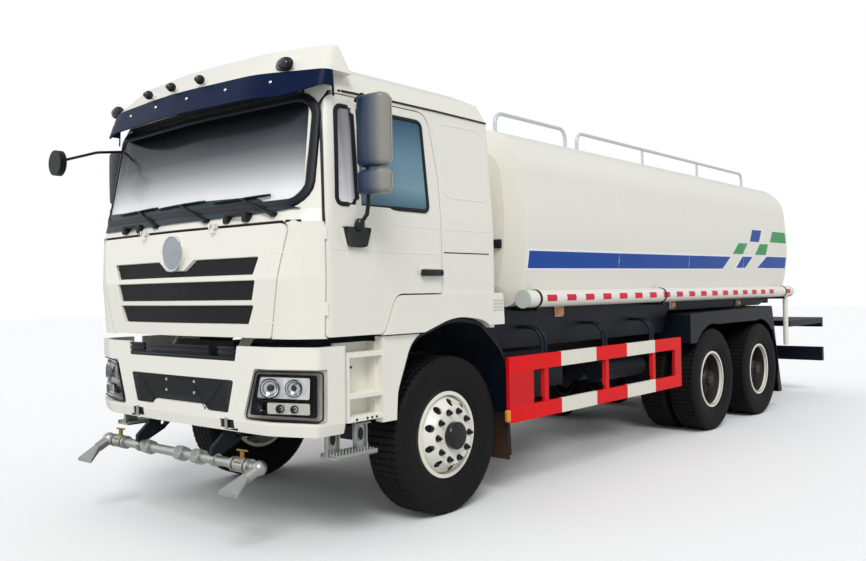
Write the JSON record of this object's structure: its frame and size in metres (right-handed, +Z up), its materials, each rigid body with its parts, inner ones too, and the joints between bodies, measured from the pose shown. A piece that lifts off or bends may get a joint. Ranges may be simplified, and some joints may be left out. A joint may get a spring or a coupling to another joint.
{
  "type": "water tanker truck",
  "caption": "Six-wheeled water tanker truck with a tilting forward-control cab, rounded-box tank, side guards, spray bar and working platform.",
  "frame": {"origin": "on the ground, at the middle of the overall length and width", "axes": "+X to the truck's left, +Y to its rear, +Z up"},
  "size_m": [3.0574, 10, 3.0348],
  "materials": {
    "cab_paint": "gloss warm white paint",
    "visor_plastic": "gloss dark blue plastic",
    "tinted_glass": "tinted safety glass",
    "lamp_lens": "clear lens over bright reflectors",
    "red_lens": "red and amber lens",
    "black_plastic": "fine grained black plastic",
    "seat_cloth": "woven grey cloth",
    "chassis_paint": "dark chassis paint",
    "engine_iron": "painted iron castings",
    "bright_metal": "bright plain metal",
    "tank_paint": "gloss white paint with blue and green stripes",
    "guard_paint": "red and white blocks of paint",
    "rim_paint": "cream painted steel",
    "tyre_rubber": "black tyre rubber"
  },
  "bodies": {
    "root": {"frame_rails": "chassis_paint", "cross_members": "chassis_paint", "front_cross_member": "chassis_paint", "engine": "engine_iron", "front_axle": "chassis_paint", "rear_axles": "chassis_paint", "leaf_springs": "chassis_paint", "bumper": "cab_paint", "headlamps": "lamp_lens", "step_panels": "cab_paint", "lower_steps": "bright_metal", "front_mudguards": "black_plastic", "spray_bar": "bright_metal", "tank": "tank_paint", "tank_bearers": "chassis_paint", "tank_saddles": "chassis_paint", "side_valances": "chassis_paint", "hose_tubes": "tank_paint", "tank_rails": "bright_metal", "tank_ladder": "bright_metal", "side_guards": "guard_paint", "rear_mudguards": "chassis_paint", "rear_platform": "chassis_paint", "underrun_guard": "chassis_paint", "tail_lamps": "red_lens", "air_tanks": "chassis_paint", "battery_box": "chassis_paint", "fuel_tank": "chassis_paint", "silencer": "chassis_paint", "water_pump": "engine_iron"},
    "cab": {"cab_shell": "cab_paint", "cab_roof": "cab_paint", "windscreen": "tinted_glass", "sun_visor": "visor_plastic", "wipers": "black_plastic", "corner_mirror": "black_plastic", "dashboard": "black_plastic", "seats": "seat_cloth"},
    "front_flap_body": {"front_flap": "cab_paint"},
    "door_left_body": {"door_left": "cab_paint", "door_glass_left": "tinted_glass", "mirror_left": "black_plastic"},
    "door_right_body": {"door_right": "cab_paint", "door_glass_right": "tinted_glass", "mirror_right": "black_plastic"},
    "knuckle_left_body": {"knuckle_left": "chassis_paint"},
    "knuckle_right_body": {"knuckle_right": "chassis_paint"},
    "wheel_front_left": {"rim_front_left": "rim_paint", "tyre_front_left": "tyre_rubber"},
    "wheel_front_right": {"rim_front_right": "rim_paint", "tyre_front_right": "tyre_rubber"},
    "wheels_middle_left": {"rims_middle_left": "rim_paint", "tyres_middle_left": "tyre_rubber"},
    "wheels_middle_right": {"rims_middle_right": "rim_paint", "tyres_middle_right": "tyre_rubber"},
    "wheels_rear_left": {"rims_rear_left": "rim_paint", "tyres_rear_left": "tyre_rubber"},
    "wheels_rear_right": {"rims_rear_right": "rim_paint", "tyres_rear_right": "tyre_rubber"},
    "manhole_lid_body": {"manhole_lid": "tank_paint"}
  },
  "joints": [
    {"name": "cab_tilt", "type": "hinge", "parent": "root", "child": "cab", "pos_m": [0, -4.69, 1], "axis": [1, 0, 0], "range_deg": [0, 50]},
    {"name": "front_flap_hinge", "type": "hinge", "parent": "cab", "child": "front_flap_body", "pos_m": [0, -4.784, 1.95], "axis": [-1, 0, 0], "range_deg": [0, 75]},
    {"name": "door_left_hinge", "type": "hinge", "parent": "cab", "child": "door_left_body", "pos_m": [1.222, -4.5745, 1.9], "axis": [0, 0, -1], "range_deg": [0, 70]},
    {"name": "door_right_hinge", "type": "hinge", "parent": "cab", "child": "door_right_body", "pos_m": [-1.222, -4.5745, 1.9], "axis": [0, 0, 1], "range_deg": [0, 70]},
    {"name": "steer_left", "type": "hinge", "parent": "root", "child": "knuckle_left_body", "pos_m": [0.88, -3.4, 0.5425], "axis": [0, 0, 1], "range_deg": [-35, 35]},
    {"name": "steer_right", "type": "hinge", "parent": "root", "child": "knuckle_right_body", "pos_m": [-0.88, -3.4, 0.5425], "axis": [0, 0, 1], "range_deg": [-35, 35]},
    {"name": "manhole_hinge", "type": "hinge", "parent": "root", "child": "manhole_lid_body", "pos_m": [0, 0.795, 2.953], "axis": [-1, 0, 0], "range_deg": [0, 110]},
    {"name": "roll_front_left", "type": "hinge", "parent": "knuckle_left_body", "child": "wheel_front_left", "pos_m": [1.018, -3.4, 0.5425], "axis": [1, 0, 0], "continuous": true},
    {"name": "roll_front_right", "type": "hinge", "parent": "knuckle_right_body", "child": "wheel_front_right", "pos_m": [-1.018, -3.4, 0.5425], "axis": [1, 0, 0], "continuous": true},
    {"name": "roll_middle_left", "type": "hinge", "parent": "root", "child": "wheels_middle_left", "pos_m": [0.925, 0.975, 0.5425], "axis": [1, 0, 0], "continuous": true},
    {"name": "roll_middle_right", "type": "hinge", "parent": "root", "child": "wheels_middle_right", "pos_m": [-0.925, 0.975, 0.5425], "axis": [1, 0, 0], "continuous": true},
    {"name": "roll_rear_left", "type": "hinge", "parent": "root", "child": "wheels_rear_left", "pos_m": [0.925, 2.375, 0.5425], "axis": [1, 0, 0], "continuous": true},
    {"name": "roll_rear_right", "type": "hinge", "parent": "root", "child": "wheels_rear_right", "pos_m": [-0.925, 2.375, 0.5425], "axis": [1, 0, 0], "continuous": true}
  ],
  "couplings": [
    {"joint": "steer_right", "follows": "steer_left", "ratio": 1}
  ]
}
